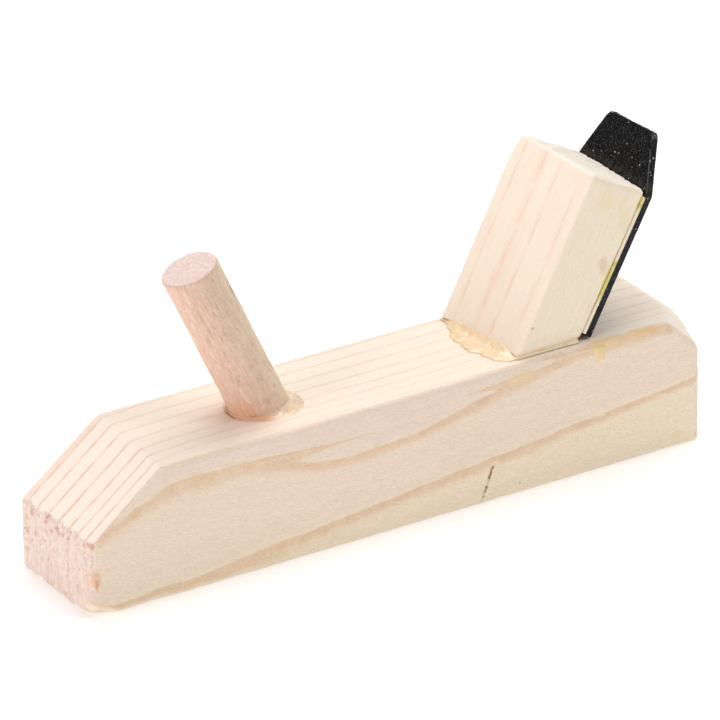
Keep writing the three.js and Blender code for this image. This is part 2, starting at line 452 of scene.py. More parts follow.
KNOB_AXIS, KNOB_LENGTH, KNOB_RADIUS = dowel_axis()
KNOB_WAY = KNOB_AXIS[1]
KNOB_TOP = KNOB_AXIS[0] + KNOB_WAY * KNOB_LENGTH
KNOB_FOOT = KNOB_AXIS[0] + KNOB_WAY * (TOP_Z - KNOB_AXIS[0][2]) / KNOB_WAY[2]
HOLE_FLOOR = facing("body_block", KNOB_WAY)
HOLE_RADIUS = KNOB_RADIUS + 0.2
IRON_FRONT = facing("plane_iron", (-1, 0, 0.5))
IRON_WAY = np.cross((0, 1, 0), IRON_FRONT[0]) * -1
IRON_WORN = (27.4, 27.9)  # heights between which the iron's worn top fades in
WEDGE_LOW, WEDGE_HIGH = box_mm("wedge_block")
WEDGE_TOP = facing("wedge_block", (0, 0, 1))
WEDGE_FRONT = facing("wedge_block", (-1, 0, 0.5))
WEDGE_SIDE = float(WEDGE_LOW[1])  # its near side
BEAD_FRONT = float(box_mm("wedge_glue")[0][0])
SPLIT = ((7.7, 0.2), (9.1, 3.6))  # x and z of the ends of the short split in the near face
GAP = 0.02  # between the knob's sleeve of glue and the wood


# ---------------- the body's growth rings

RING_AT_CENTRE = 2.94  # ring number along the middle of the top face
RINGS_PER_MM = 0.59  # across the far half
RINGS_CLOSING = 0.02  # how they crowd towards the near side
NEAR_RING = RING_AT_CENTRE + RINGS_PER_MM * -NEAR_Y + RINGS_CLOSING * (-NEAR_Y) ** 2.5


def upper_band(x):
    """Height on the near side of the edge of one latewood band."""
    falling = -2.2 * smooth_step(-16.0, -6.0, x)
    return 7.2 + 3.1 * smooth_step(-31.0, -21.0, x) + falling + 3.4 * smooth_step(-3.0, 19.0, x)


def lower_band(x):
    """Height on the near side of the edge of the band below it."""
    return 3.1 + 0.1 * x + 0.4 * fade(-30.0, -18.0, x)


def tongue(rings, centre, half_width, z):
    """The ring number, held back just under 7 where a pointed tongue of latewood reaches the face."""
    return rings - at_least(rings - 6.92, 0.0) * hump(centre, at_least(half_width, 0.02), z)


def near_ring(x, z):
    """The ring number on the near side, where two bands rise towards the heel."""
    low = lower_band(x)
    rings = at_least((z - low) / (upper_band(x) - low) + 6.0, 5.02)
    rings = tongue(rings, 9.65, 0.95 * smooth_step(-17.0, -13.0, x) * fade(-13.0, -0.8, x), z)
    return tongue(rings, 10.65, 0.8 * smooth_step(5.0, 12.0, x) * fade(12.0, 15.0, x), z)


def ring_number(x, y, z):
    """Rings counted across the stick; each whole number is the end of one year's growth."""
    towards_near = at_least(-y, 0.0)
    across = RING_AT_CENTRE - RINGS_PER_MM * y + RINGS_CLOSING * towards_near**2.5
    nose_drift = (0.175 - 0.05 * y + 0.0105 * y * y) * fade(-24.0, -18.0, x)
    near_share = smooth_step(4.2, -NEAR_Y, -y)
    far_share = smooth_step(4.5, FAR_Y, y) * smooth_step(-27.0, -8.0, x)
    far_tilt = (0.16 + 0.0014 * x) * (z - TOP_Z) * far_share
    near = near_ring(x, z)
    return across + near_share * (near - NEAR_RING) + far_tilt - nose_drift * (1.0 - near_share)


def latewood(rings, start=0.72):
    """1 in the dense end of each year's growth: it comes on slowly and stops sharply."""
    phase = rings % 1.0
    rise = (phase - start) / (0.95 - start)
    return smooth_step(0.0, 1.0, rise) * fade(0.97, 1.0, phase)


# ---------------- shapes


def body_easing(x, y, z):
    """How far the body's edges are rounded, in mm."""
    low_edge = fade(0.6, 1.6, z)
    at_nose = fade(0.2, 1.2, x - NOSE_X)
    nose_corner = low_edge * fade(0.8, 2.6, x - NOSE_X) * fade(-5.5, -4.0, y)
    bite = low_edge * hump(-24.3, 2.6, x)
    worn = 0.18 + 0.07 * noise(x / 2.2, y / 2.2, z / 2.2, 21)
    ragged = 0.16 * low_edge * np.maximum(noise(x / 1.1, y / 3, z / 3, 22), 0)
    torn = at_nose * (0.1 + 0.4 * low_edge) * np.maximum(noise(x, y * 1.3, z * 1.3, 23), 0)
    heel = 0.35 * smooth_step(HEEL_X - 4, HEEL_X - 1, x) * smooth_step(6, 11, z)
    return worn + ragged + torn + heel + 0.95 * nose_corner + 0.2 * bite


def end_pits(x, y, z):
    """0 to 1: small torn holes in sawn end grain, in patches that are denser higher up."""
    grains = noise(x * 1.5, y * 2.9, z * 2.4, 31)
    crowded = smooth_step(-0.2, 0.6, noise(x, y * 0.8, z * 0.4, 32) + 0.08 * (z - 3))
    return smooth_step(0.3, 0.65, grains) * crowded


def split_distance(x, z):
    """Distance in mm from the short slanting split in the near face."""
    low, high = np.array(SPLIT)
    way = (high - low) / np.linalg.norm(high - low)
    along = (x - low[0]) * way[0] + (z - low[1]) * way[1]
    inside = np.clip(along, 0, np.linalg.norm(high - low))
    return np.hypot(x - low[0] - inside * way[0], z - low[1] - inside * way[1]), along


def body_relief(x, y, z):
    """Depth taken off the body's faces: fibres, ring ridges, sawn end grain, a split."""
    clear_of_glue = smooth_step(2.6, 3.6, np.hypot(x - KNOB_FOOT[0], y - KNOB_FOOT[1]))
    fibres = 0.014 * (1 + noise(x * 0.45, y * 3.2, z * 3.2, 11))
    ridges = 0.015 * (1 - latewood(ring_number(x, y, z)))
    at_end = fade(0.0, 0.7, np.minimum(x - NOSE_X, HEEL_X - x))
    sawn = 0.03 * (1 + noise(x, y * 2.8, z * 2.2, 12)) + 0.26 * end_pits(x, y, z)
    from_split, along = split_distance(x, z)
    open_split = smooth_step(-0.6, 0.3, noise(along * 1.8, 0 * x, 0 * x, 13))
    split = 0.14 * open_split * fade(0.03, 0.18, from_split) * (y < NEAR_Y + 0.5)
    return (fibres + ridges) * (0.2 + 0.8 * clear_of_glue) + at_end * sawn + split


def body_distance(x, y, z):
    solid = convex(outer_planes("body_block"), body_easing(x, y, z), x, y, z)
    solid = carved(solid, 0.5, body_relief, x, y, z)
    _, radial = along_axis(KNOB_AXIS, x, y, z)
    return np.maximum(solid, np.minimum(HOLE_RADIUS - radial, above(HOLE_FLOOR, x, y, z)))


def body_grid():
    """Fine steps near the nose, and longer ones along the grain behind it."""
    fine_to = NOSE_X + 3.0
    along = [spaced(NOSE_X - 0.4, fine_to - 0.13, 0.13), spaced(fine_to, HEEL_X + 0.4, 0.28)]
    across = spaced(NEAR_Y - 0.4, FAR_Y + 0.4, 0.135)
    up = spaced(SOLE_Z - 0.4, TOP_Z + 0.4, 0.135)
    return [np.concatenate(along), across, up], np.eye(3)


def knob_relief(x, y, z):
    """Depth taken off the dowel: long fibres, short flecks, slow waves, and a sawn top."""
    along, _ = along_axis(KNOB_AXIS, x, y, z)
    across = x * KNOB_WAY[2] - z * KNOB_WAY[0]
    below_top = smooth_step(0.2, 1.2, KNOB_LENGTH - along)
    clear_of_glue = smooth_step(0.4, 2.0, z - TOP_Z)
    fibres = 0.025 * (1 + noise(along * 0.6, y * 2.8, across * 2.8, 41))
    flecks = 0.09 * below_top * smooth_step(0.25, 0.7, noise(along * 0.9, y * 4, across * 4, 42))
    waves = 0.03 * (1 + noise(along * 0.5, y * 0.7, across * 0.7, 43))
    sawn = 0.015 * smooth_step(-0.3, 0.0, along - KNOB_LENGTH) * (1 + noise(x * 2.5, y * 2.5, z * 2.5, 44))
    return (fibres + flecks + waves) * (0.15 + 0.85 * clear_of_glue) + sawn


def knob_distance(x, y, z):
    _, radial = along_axis(KNOB_AXIS, x, y, z)
    worn = 0.25 + 0.05 * noise(x * 0.9, y * 0.9, z * 0.9, 45)
    depths = [above((n, offset), x, y, z) + worn for n, offset, _ in flat_faces("front_knob")[:2]]
    depths.append(radial - KNOB_RADIUS + worn)
    outside = np.sqrt(sum(np.maximum(depth, 0) ** 2 for depth in depths))
    solid = np.minimum(np.maximum.reduce(depths), 0) + outside - worn
    return carved(solid, 0.45, knob_relief, x, y, z)


def wedge_relief(x, y, z):
    """Fibres along the wedge, and a fine torn fringe where its top was sawn."""
    along = x * IRON_WAY[0] + z * IRON_WAY[2]
    through = x * IRON_WAY[2] - z * IRON_WAY[0]
    fibres = 0.015 * (1 + noise(along * 0.4, y * 3, through * 3, 51))
    strands = smooth_step(-0.2, 0.3, noise(x * 0.8, y * 3.4, z * 0.8, 52))
    fringe = 0.16 * strands + 0.07 * (1 + noise(x * 0.6, y * 1.7, z * 0.6, 54))
    return fibres + fade(0.0, 0.4, -above(WEDGE_TOP, x, y, z)) * fringe


def wedge_easing(x, y, z):
    """How far the wedge's edges are rounded, in mm: most at its top, least at its foot and by the iron."""
    low, high = WEDGE_LOW, WEDGE_HIGH
    far_top = smooth_step(high[1] - 1.6, high[1], y) * smooth_step(high[2] - 2.6, high[2] - 0.6, z)
    foot = fade(low[2], low[2] + 1.0, z)
    near_heel = fade(low[1], low[1] + 1.4, y) * foot * smooth_step(16, 18, x)
    by_iron = fade(0.5, 0.9, above(IRON_FRONT, x, y, z))
    worn = 0.19 + 0.07 * noise(x * 0.7, y * 0.7, z * 0.7, 53)
    worn = worn + 0.16 * fade(0.6, 1.6, -above(WEDGE_TOP, x, y, z))
    return worn * (1 - 0.6 * foot) * (1 - 0.75 * by_iron) + 0.4 * far_top + 0.3 * near_heel


def wedge_distance(x, y, z):
    solid = convex(outer_planes("wedge_block"), wedge_easing(x, y, z), x, y, z)
    return carved(solid, 0.45, wedge_relief, x, y, z)


def iron_relief(x, y, z):
    """A slightly uneven coat of paint, and a worn, nicked top."""
    coat = 0.012 * (1 + noise(x * 2, y * 2, z * 2, 61))
    worn = 0.1 + 0.05 * noise(x * 3, y * 3, z * 3, 62)
    return coat + worn * smooth_step(*IRON_WORN, z)


def iron_distance(x, y, z):
    solid = convex(outer_planes("plane_iron"), 0.07, x, y, z)
    return carved(solid, 0.3, iron_relief, x, y, z)


def meniscus(from_wall, from_floor, reach):
    """Distance to a hollow fillet between a wall and a floor: glue that has crept up both."""
    corner = reach - np.hypot(np.maximum(reach - from_wall, 0), np.maximum(reach - from_floor, 0))
    return np.maximum.reduce([corner, from_wall - reach, from_floor - reach, -from_wall, -from_floor])


def knob_glue_distance(x, y, z):
    """A fillet round the knob's foot, widest towards the heel, with a sleeve and a disc in the hole."""
    _, radial = along_axis(KNOB_AXIS, x, y, z)
    _, high = box_mm("knob_glue")
    turned = np.arctan2(y - KNOB_FOOT[1], x - KNOB_FOOT[0])
    widest = np.cos(turned - math.radians(-25))
    lumps = 0.08 * noise(np.cos(turned) * 2.5, np.sin(turned) * 2.5, 0 * x, 71)
    reach = 0.66 + 0.46 * widest + lumps
    from_wall, from_floor = radial - KNOB_RADIUS + 0.03, z - TOP_Z + 0.03
    fillet = np.maximum(meniscus(from_wall, from_floor, reach), z - high[2])
    above_floor = above(HOLE_FLOOR, x, y, z)
    inner, outer = radial - KNOB_RADIUS - GAP, radial - HOLE_RADIUS + GAP
    sleeve = np.maximum.reduce([-inner, outer, z - TOP_Z - 0.1, GAP - above_floor])
    disc = np.maximum.reduce([outer, GAP - above_floor, above_floor - 0.28])
    return np.minimum(np.minimum(fillet, sleeve), disc)


def bead_rim(y):
    """How far forward the squeezed-out glue reaches at each place across the wedge, as an x."""
    hollow = ((y + 0.2) * (1 / 4.6)) ** 2.0
    wander = 0.12 * sine(y * 2.3 + 1.0) + 0.07 * sine(y * 5.1)
    return BEAD_FRONT + 0.1 + 1.5 * hollow + wander


def bead_distance(x, y, z, from_wall, ends):
    """The bead squeezed out in front of the wedge: swollen in the middle, creeping up the wood."""
    from_floor = z - TOP_Z + 0.06
    inward = x - bead_rim(y)
    full = fade(0.55, 1.0, np.abs((y - 0.1) / 5.0))
    creep = 0.42 * fade(0.0, 0.8, from_wall) ** 2
    swell = 0.17 * np.sqrt(np.clip(inward, 0, 0.8)) + creep * (0.4 + 0.6 * full)
    lumps = 0.03 * (1 + noise(x * 1.2, y * 1.2, 0 * x, 82))
    thick = 0.06 + (swell + lumps) * (0.5 + 0.5 * full)
    return np.maximum.reduce([(from_floor - thick) * 0.8, -from_floor, -from_wall, -inward * 0.6, ends])


def near_fillet_distance(x, y, z, from_wall):
    """A thin fillet between the wedge's near side and the body."""
    low, high = box_mm("wedge_glue")
    from_side = WEDGE_LOW[1] - y + 0.06
    reach = 0.16 + 0.06 * smooth_step(12.0, 17.0, x) + 0.04 * noise(x * 1.5, 0 * x, 0 * x, 83)
    slant = (from_side + 0.6 * (z - low[2]) - reach) * 0.85
    return np.maximum.reduce([slant, low[2] - z, -from_side - 0.1, from_wall - 0.05, x - high[0]])


def wedge_glue_distance(x, y, z):
    """The glue that holds the wedge: a film under it, the bead in front and the fillet beside it."""
    low, high = box_mm("wedge_glue")
    from_wall = above(WEDGE_FRONT, x, y, z) + 0.05
    ends = np.maximum(WEDGE_LOW[1] + 0.05 - y, y - WEDGE_HIGH[1] + 0.05)
    film = np.maximum.reduce([low[2] - z, z - low[2] - 0.12, from_wall - 0.1, x - high[0], ends])
    bead = bead_distance(x, y, z, from_wall, ends)
    return np.minimum(np.minimum(bead, film), near_fillet_distance(x, y, z, from_wall))


def yellow_share(z):
    """1 at the heights where glue was squeezed out thick and yellow beside the iron."""
    return hump(17.0, 3.0, z) + hump(23.4, 1.2, z)


def iron_glue_distance(x, y, z):
    """The film between wedge and iron. Its ragged near edge stands further out where it is yellow."""
    low, high = box_mm("iron_glue")
    height = (z - low[2]) / (high[2] - low[2])
    set_back = 0.05 + 0.02 * (1 + noise(height * 25, 0 * x, 0 * x, 94)) - 0.03 * yellow_share(z)
    solid = convex(outer_planes("iron_glue"), 0.0, x, y, z) - 0.1
    film = np.maximum(solid, -above(IRON_FRONT, x, y, z) - 0.03)
    return np.maximum(film, low[1] + set_back - y)


def drip_distance(x, y, z):
    """A flat run of glue down the near side, wider at its top, with a lumpy outline."""
    low, high = box_mm("glue_drip")
    middle = (low + high) / 2
    wide = (high[0] - low[0]) / 2 - 0.2 + 0.22 * (z - middle[2])
    tall = (high[2] - low[2]) / 2 - 0.04
    lumps = 1 + 0.3 * noise(x * 2.2, 0 * x, z * 2.2, 95)
    square_out = (np.abs(x - middle[0]) / wide) ** 3 + (np.abs(z - middle[2]) / tall) ** 3
    blob = (square_out ** (1 / 3) * lumps - 1) * 0.5
    face = low[1] - y + 0.06 + 0.1 * np.minimum(square_out, 1.5)
    return np.maximum.reduce([blob, face, y - high[1] - 0.07])


# ---------------- materials


def fibre_tone(paint, x, y, z, seed):
    """Fine long fibres, around 0."""
    fine = paint.noise(x * 0.9, y * 8.0, z * 8.0, detail=3.0, rough=0.6, seed=seed)
    coarse = paint.noise(x * 0.2, y * 2.2, z * 2.2, detail=1.0, seed=seed + 1)
    return fine * 0.6 + coarse * 0.4


def near_face(paint, start, end):
    """1 on the body's near face, falling to 0 between two depths in mm behind it."""
    return fade(NEAR_Y + start, NEAR_Y + end, paint.y)


def body_ground(paint, rings, near, sloped):
    """The pale wood between the ring lines: pinker on the nose slope; duller and yellower on the near side,
    where the tone is painted warm shade.
    """
    x, y, z = paint.x, paint.y, paint.z
    drift = smooth_step(-0.8, 0.8, paint.noise(x * 0.1, y * 0.3, z * 0.3, seed=7))
    pale = paint.mix(drift, srgb(254, 240, 221), srgb(255, 239, 223))
    # Painted warm shade: the near side's tones are darker and yellower than the top's, stepped at rings 6
    # and 7.
    side = paint.mix(smooth_step(6.0, 6.05, rings), srgb(249, 232, 206), srgb(247, 228, 207))
    side = paint.mix(smooth_step(7.0, 7.05, rings), side, srgb(245, 225, 208))
    pale = paint.mix(near, pale, side)
    return paint.mix(sloped * 0.8, pale, srgb(252, 233, 220))


def body_lines(paint, wood, rings, near, on_top, on_slope, wander):
    """Thin latewood lines on the top, stronger ones on the slope, and broad bands on the sides."""
    x, y, z = paint.x, paint.y, paint.z
    patchy = smooth_step(-0.7, 0.6, paint.noise(x * 0.9, y * 0.7, z * 0.7, detail=3.0, seed=6))
    late = latewood(rings)
    wood = paint.mix(late * on_top * (0.35 + 0.4 * patchy) * (1.0 - on_slope), wood, srgb(238, 214, 188))
    wood = paint.mix(late * on_slope * on_top * (0.3 + 0.5 * patchy), wood, srgb(224, 180, 154))
    band_start = smooth_step(12.0, 18.0, x) * 0.08 + 0.76
    plain_edge = near * fade(0.25, 0.6, z) * smooth_step(0.0, 5.0, x)
    band = latewood(rings, start=band_start) * (1.0 - on_top) * (1.0 - plain_edge)
    wood = paint.mix(band * (0.6 + 0.35 * patchy), wood, srgb(238, 203, 168))
    far_line = hump(5.2, 0.55, y + wander * 2.0) * on_slope * on_top
    return paint.mix(far_line * (0.3 + 0.3 * patchy), wood, srgb(246, 206, 184))


def body_grain(paint, fibres, nap, near):
    """Small changes of brightness, around 1: fibres, mottle, and a brushed nap on the near side."""
    x, y, z = paint.x, paint.y, paint.z
    mottle = paint.noise(x * 6.5, y * 8.0, z * 8.0, detail=3.0, rough=0.8, seed=8)
    cloudy = paint.noise(x * 0.8, y * 2.4, z * 2.4, detail=3.0, rough=0.6, seed=5)
    return fibres * 0.03 + mottle * (0.05 + 0.07 * near) + cloudy * 0.035 + nap * near * 0.1 + 0.985


def at_sawn_end(paint, near):
    """1 on the nose and heel ends, with a jagged edge except beside the near face."""
    from_end = (paint.x - NOSE_X).math("MINIMUM", HEEL_X - paint.x)
    jags = paint.noise(paint.x * 0.5, paint.y * 1.5, paint.z * 1.0, detail=4.0, rough=0.7, seed=15) * 0.4
    return fade(0.2, 0.36, from_end + jags * (1.0 - near))


def body_wood():
    """Softwood: rings on every face, pink sawn ends, and the marks of use and glue."""
    paint = Paint("body_wood")
    x, y, z = paint.x, paint.y, paint.z
    near = near_face(paint, 0.3, 0.6)
    far = smooth_step(FAR_Y - 0.6, FAR_Y - 0.3, y)
    fibres = fibre_tone(paint, x, y, z, seed=1)
    wander = paint.noise(x * 0.4, y * 0.5, z * 0.5, detail=3.0, seed=4) * (0.045 - 0.03 * near - 0.025 * far)
    rings = ring_number(x, y, z) + wander + fibres * 0.015
    _, _, up = paint.normal()
    on_top, on_slope = smooth_step(0.5, 0.8, up), fade(NOSE_X + 7.0, NOSE_X + 8.2, x)
    wood = body_ground(paint, rings, near, on_slope * on_top)
    wood = body_lines(paint, wood, rings, near, on_top, on_slope, wander)
    nap = paint.noise((x - z * 0.5) * 1.6, y, (z + x * 0.5) * 7.0, detail=3.0, rough=0.6, seed=18)
    wood = paint.shade(wood, body_grain(paint, fibres, nap, near))
    end = at_sawn_end(paint, near)
    wood = body_marks(paint, paint.mix(end, wood, end_grain(paint, rings)))
    grain = paint.noise(x * 1.5, y * 12.0, z * 12.0, detail=3.0, rough=0.6, seed=9) + nap * near
    torn = paint.noise(x * 5.0, y * 5.0, z * 5.0, detail=3.0, rough=0.7, seed=10)
    return paint.finish(wood, 0.62, grain * (1.0 - end) + torn * end * 3.5, 0.014, Specular_IOR_Level=0.3)


def end_grain(paint, rings):
    """Pink sawn end grain: darker along the rings, with brown torn pits that are partly painted shade in the
    holes.
    """
    bent = 0.3 * paint.noise(paint.x * 2.5, paint.y * 2.5, paint.z * 2.5, detail=3.0, rough=0.7, seed=14)
    x, y, z = paint.x, paint.y + bent, paint.z - bent
    blotch = paint.noise(x * 2.5, y * 3.2, z * 1.8, detail=4.0, rough=0.75, seed=11)
    colour = paint.mix(smooth_step(-0.6, 0.6, blotch), srgb(243, 229, 216), srgb(233, 201, 189))
    streaks = smooth_step(0.0, 0.6, paint.noise(x, paint.y * 1.5, z * 0.35, detail=2.0, seed=13))
    colour = paint.mix(latewood(rings) * 0.3 + streaks * 0.2, colour, srgb(228, 186, 172))
    patches = paint.noise(x, paint.y * 0.8, paint.z * 0.4, seed=16)
    crowded = smooth_step(-0.6, 0.5, patches + (z - 4.5) * 0.12)
    # The brown pits are partly the torn fibres' colour and partly painted shade in small holes; they don't
    # follow the mesh's own pits.
    holes = paint.noise(x * 1.2, y * 1.3, z * 1.15, detail=2.5, rough=0.6, seed=17)
    pits = smooth_step(0.24, 0.4, holes + latewood(rings) * 0.12) * crowded
    return paint.mix(pits * 0.8, colour, srgb(198, 148, 118))


def spot(paint, x, z, wide, tall):
    """1 inside a ragged oval on the near face, given its centre and half sizes in mm."""
    edge = paint.noise(paint.x * 2.2, paint.y, paint.z * 2.2, detail=4.0, rough=0.6, seed=20) * 0.6
    across = (paint.x - x) / wide
    up = (paint.z - z) / tall
    away = (across * across + up * up).math("SQRT") + edge
    return fade(0.55, 1.15, away) * near_face(paint, 0.5, 0.9)


# Marks on the near face: colour, strength, then x, z, half width and half height in mm.
YELLOWED, BROWNED, ORANGE = srgb(244, 218, 172), srgb(214, 150, 116), srgb(240, 192, 150)
BODY_SPOTS = (
    (YELLOWED, 0.55, (11.7, 11.0, 1.1, 0.8)),
    (YELLOWED, 0.5, (27.6, 1.1, 1.0, 0.4)),
    (YELLOWED, 0.5, (20.0, 11.4, 1.2, 0.9)),
    (ORANGE, 0.75, (-29.55, 3.5, 0.45, 1.1)),
    (BROWNED, 0.5, (-29.5, 3.1, 0.2, 0.45)),
    (BROWNED, 0.7, (-29.75, 6.6, 0.22, 0.3)),
    (BROWNED, 0.6, (11.6, 0.95, 0.12, 0.12)),
)


def body_marks(paint, wood):
    """Spots, the darkened split, the browned bottom corner of the nose and the glued top edge."""
    x, y, z = paint.x, paint.y, paint.z
    for colour, strength, place in BODY_SPOTS:
        wood = paint.mix(spot(paint, *place) * strength, wood, colour)
    wood = paint.mix(split_darkening(paint), wood, srgb(160, 116, 78))
    from_corner = x - NOSE_X + y - NEAR_Y + z + paint.noise(x, y, z, detail=3.0, seed=26) * 0.5
    wood = paint.mix(fade(1.3, 2.6, from_corner) * 0.7, wood, srgb(234, 196, 164))
    streaky = smooth_step(-0.5, 0.2, paint.noise(x * 0.6, y, z * 2.5, detail=3.0, seed=23))
    top_edge = hump(TOP_Z - 0.15, 0.6, z) * smooth_step(18.4, 19.5, x) * fade(24.5, 26.8, x)
    glued = top_edge * near_face(paint, 0.35, 0.7) * streaky
    return knob_stain(paint, paint.mix(glued * 0.85, wood, srgb(242, 204, 148)))


def knob_stain(paint, wood):
    """The wood around the knob's foot, darkened by glue, with a pink blush in front of it."""
    dx, dy = paint.x - KNOB_FOOT[0], paint.y - KNOB_FOOT[1]
    away = (dx * dx * 0.8 + dy * dy).math("SQRT")
    ragged = paint.noise(paint.x * 1.2, paint.y * 1.2, paint.z, detail=3.0, seed=22) * 0.2
    top = smooth_step(TOP_Z - 0.6, TOP_Z - 0.3, paint.z)
    blush = fade(2.5, 8.0, away) * fade(-1.5, 1.5, dx + dy * 1.5)
    wood = paint.mix(blush * top * 0.35, wood, srgb(253, 222, 208))
    return paint.mix(fade(2.4, 3.0, away + ragged) * top * 0.4, wood, srgb(238, 196, 164))


def knob_wood():
    """Beech: short brown flecks over a ground with painted light in it, pink where it faces the nose and tan
    where it faces the heel; orange at the foot on the near side.
    """
    paint = Paint("knob_wood")
    x, y, z = paint.x, paint.y, paint.z
    along = x * float(KNOB_WAY[0]) + z * float(KNOB_WAY[2])
    across = x * float(KNOB_WAY[2]) - z * float(KNOB_WAY[0])
    east, north, up = paint.normal()
    tone = paint.noise(along * 0.35, y * 0.9, across * 0.9, detail=3.0, seed=31)
    # Painted light: the ground turns pink on the side facing the nose and tan on the side facing the heel,
    # by which way the surface faces.
    wood = paint.mix(smooth_step(-0.7, 0.7, tone * 0.6 + east), srgb(232, 194, 175), srgb(240, 213, 186))
    scales = paint.noise(along * 1.3, y * 2.6, across * 2.6, detail=4.0, rough=0.7, seed=36)
    wood = paint.shade(wood, scales * 0.18 + 1.0)
    flecks = paint.noise(along * 0.8, y * 3.8, across * 3.8, detail=4.0, rough=0.7, seed=32)
    wood = paint.mix(smooth_step(0.1, 0.55, flecks + scales * 0.4) * 0.6, wood, srgb(202, 160, 124))
    light = paint.noise(along * 1.0, y * 4.5, across * 4.5, detail=3.0, rough=0.6, seed=33)
    wood = paint.mix(smooth_step(0.05, 0.6, light) * 0.5, wood, srgb(250, 230, 206))
    height_up = along - float(KNOB_AXIS[0] @ KNOB_WAY) + tone * 0.6 + scales * 0.5
    near_front = hump(-0.2, 0.75, east * 0.85 - north * 0.53 + tone * 0.3)
    foot = fade(7.0, 8.1, height_up) * near_front * smooth_step(-0.6, 0.2, flecks + light * 0.5)
    wood = paint.mix(foot * 0.8, wood, srgb(234, 172, 126))
    on_end = smooth_step(0.75, 0.92, east * float(KNOB_WAY[0]) + up * float(KNOB_WAY[2]))
    wood = paint.mix(on_end, wood, knob_end(paint))
    height = paint.noise(along * 1.5, y * 8.0, across * 8.0, detail=4.0, rough=0.65, seed=35)
    return paint.finish(wood, 0.65, height + scales, 0.04, Specular_IOR_Level=0.3)


def knob_end(paint):
    """The dowel's cut end: pale pink, with faint arcs of its growth rings."""
    dx, dy = paint.x - float(KNOB_TOP[0]) + 6.0, paint.y - float(KNOB_TOP[1]) + 5.0
    arcs = sine((dx * dx + dy * dy).math("SQRT") * 9.0)
    mottle = paint.noise(paint.x * 3.5, paint.y * 3.5, paint.z * 3.5, detail=4.0, rough=0.7, seed=34)
    share = smooth_step(-1.2, 1.2, arcs * 0.15 + mottle * 2.0)
    return paint.mix(share, srgb(255, 236, 226), srgb(242, 206, 196))


def split_darkening(paint):
    """Brown dots and dashes along the split in the near face."""
    low, high = SPLIT
    length = math.dist(low, high)
    way = [(b - a) / length for a, b in zip(low, high)]
    dx, dz = paint.x - low[0], paint.z - low[1]
    along = dx * way[0] + dz * way[1]
    wobble = paint.noise(along * 1.5, 0.0, 0.0, detail=2.0, seed=25) * 0.12
    across = abs(dx * way[1] - dz * way[0] + wobble)
    dashes = smooth_step(-0.25, 0.15, paint.noise(along * 2.2, 0.0, 0.0, detail=3.0, rough=0.7, seed=24))
    inside = smooth_step(-0.3, 0.0, along) * fade(length - 0.4, length, along)
    return fade(0.06, 0.2, across) * (dashes * 0.75 + 0.2) * inside * near_face(paint, 0.5, 0.9)


# Stripes across the wedge: where in y, half width, and how dark.
WEDGE_STRIPES = ((3.85, 0.3, 0.55), (1.2, 0.7, 0.5), (-0.85, 0.35, 0.45), (-3.6, 0.6, 0.3))


def wedge_stripes(paint, wood, along, through, bend, on_near, on_top):
    """Broad pink stripes across the wedge, each with a broken brown hairline."""
    y = paint.y
    strong = smooth_step(-0.6, 0.6, paint.noise(along * 0.4, y * 0.6, through * 0.3, seed=44))
    strong = strong * (1.0 - on_top * 0.7)
    dashes = smooth_step(-0.2, 0.5, paint.noise(along * 0.6, y * 0.8, through, detail=3.0, seed=47))
    dashes = dashes * (1.0 - on_top)
    for centre, half_width, dark in WEDGE_STRIPES:
        wood = paint.mix(hump(centre, half_width, bend) * strong * dark, wood, srgb(251, 209, 184))
        hairline = hump(centre - 0.1, 0.08, bend) * dashes
        wood = paint.mix(hairline * 0.35 * (1.0 - on_near), wood, srgb(222, 168, 130))
    return wood


def wedge_wood():
    """Softwood like the body's, with its grain running up the wedge, and painted warm shade on its near
    side.
    """
    paint = Paint("wedge_wood")
    x, y, z = paint.x, paint.y, paint.z
    along = x * float(IRON_WAY[0]) + z * float(IRON_WAY[2])
    through = x * float(IRON_WAY[2]) - z * float(IRON_WAY[0])
    _, north, up = paint.normal()
    on_near, on_top = smooth_step(0.4, 0.9, -north), smooth_step(0.6, 0.9, up)
    fibres = paint.noise(along * 0.5, y * 6.0, through * 6.0, detail=3.0, rough=0.6, seed=41)
    bend = y + 0.12 * paint.noise(along * 0.12, y * 0.2, through * 0.3, seed=42) + 0.08 * fibres
    drift = smooth_step(-0.9, 0.9, paint.noise(along * 0.2, y * 0.5, through, seed=43))
    wood = paint.mix(drift, srgb(255, 240, 220), srgb(255, 234, 216))
    # Painted warm shade: faces that look to the near side are yellower.
    wood = paint.mix(on_near, wood, srgb(252, 236, 212))
    wood = paint.mix(on_top, wood, srgb(254, 244, 230))
    wood = wedge_stripes(paint, wood, along, through, bend, on_near, on_top)
    mottle = paint.noise(x * 6.0, y * 6.0, z * 6.0, detail=3.0, rough=0.75, seed=45)
    streaks = paint.noise(along * 0.35, y * 3.0, through * 4.0, detail=3.0, rough=0.6, seed=48)
    grainy = fibres * 0.03 + mottle * (0.05 + 0.05 * on_near) + streaks * on_near * 0.05
    wood = wedge_marks(paint, paint.shade(wood, grainy + 0.99))
    return paint.finish(wood, 0.62, fibres + mottle * 0.6, 0.02, Specular_IOR_Level=0.3)


# Marks on the wedge's near side: colour, strength, x, z, half width and half height in mm.
WEDGE_SPOTS = (
    (srgb(190, 150, 126), 0.7, 13.5, 14.5, 0.16, 0.16),
    (srgb(226, 192, 164), 0.55, 20.6, 18.6, 0.5, 0.9),
    (srgb(244, 226, 172), 0.35, 20.9, 24.3, 0.9, 1.3),
    (srgb(236, 222, 160), 0.3, 22.6, 22.6, 0.6, 1.6),
)


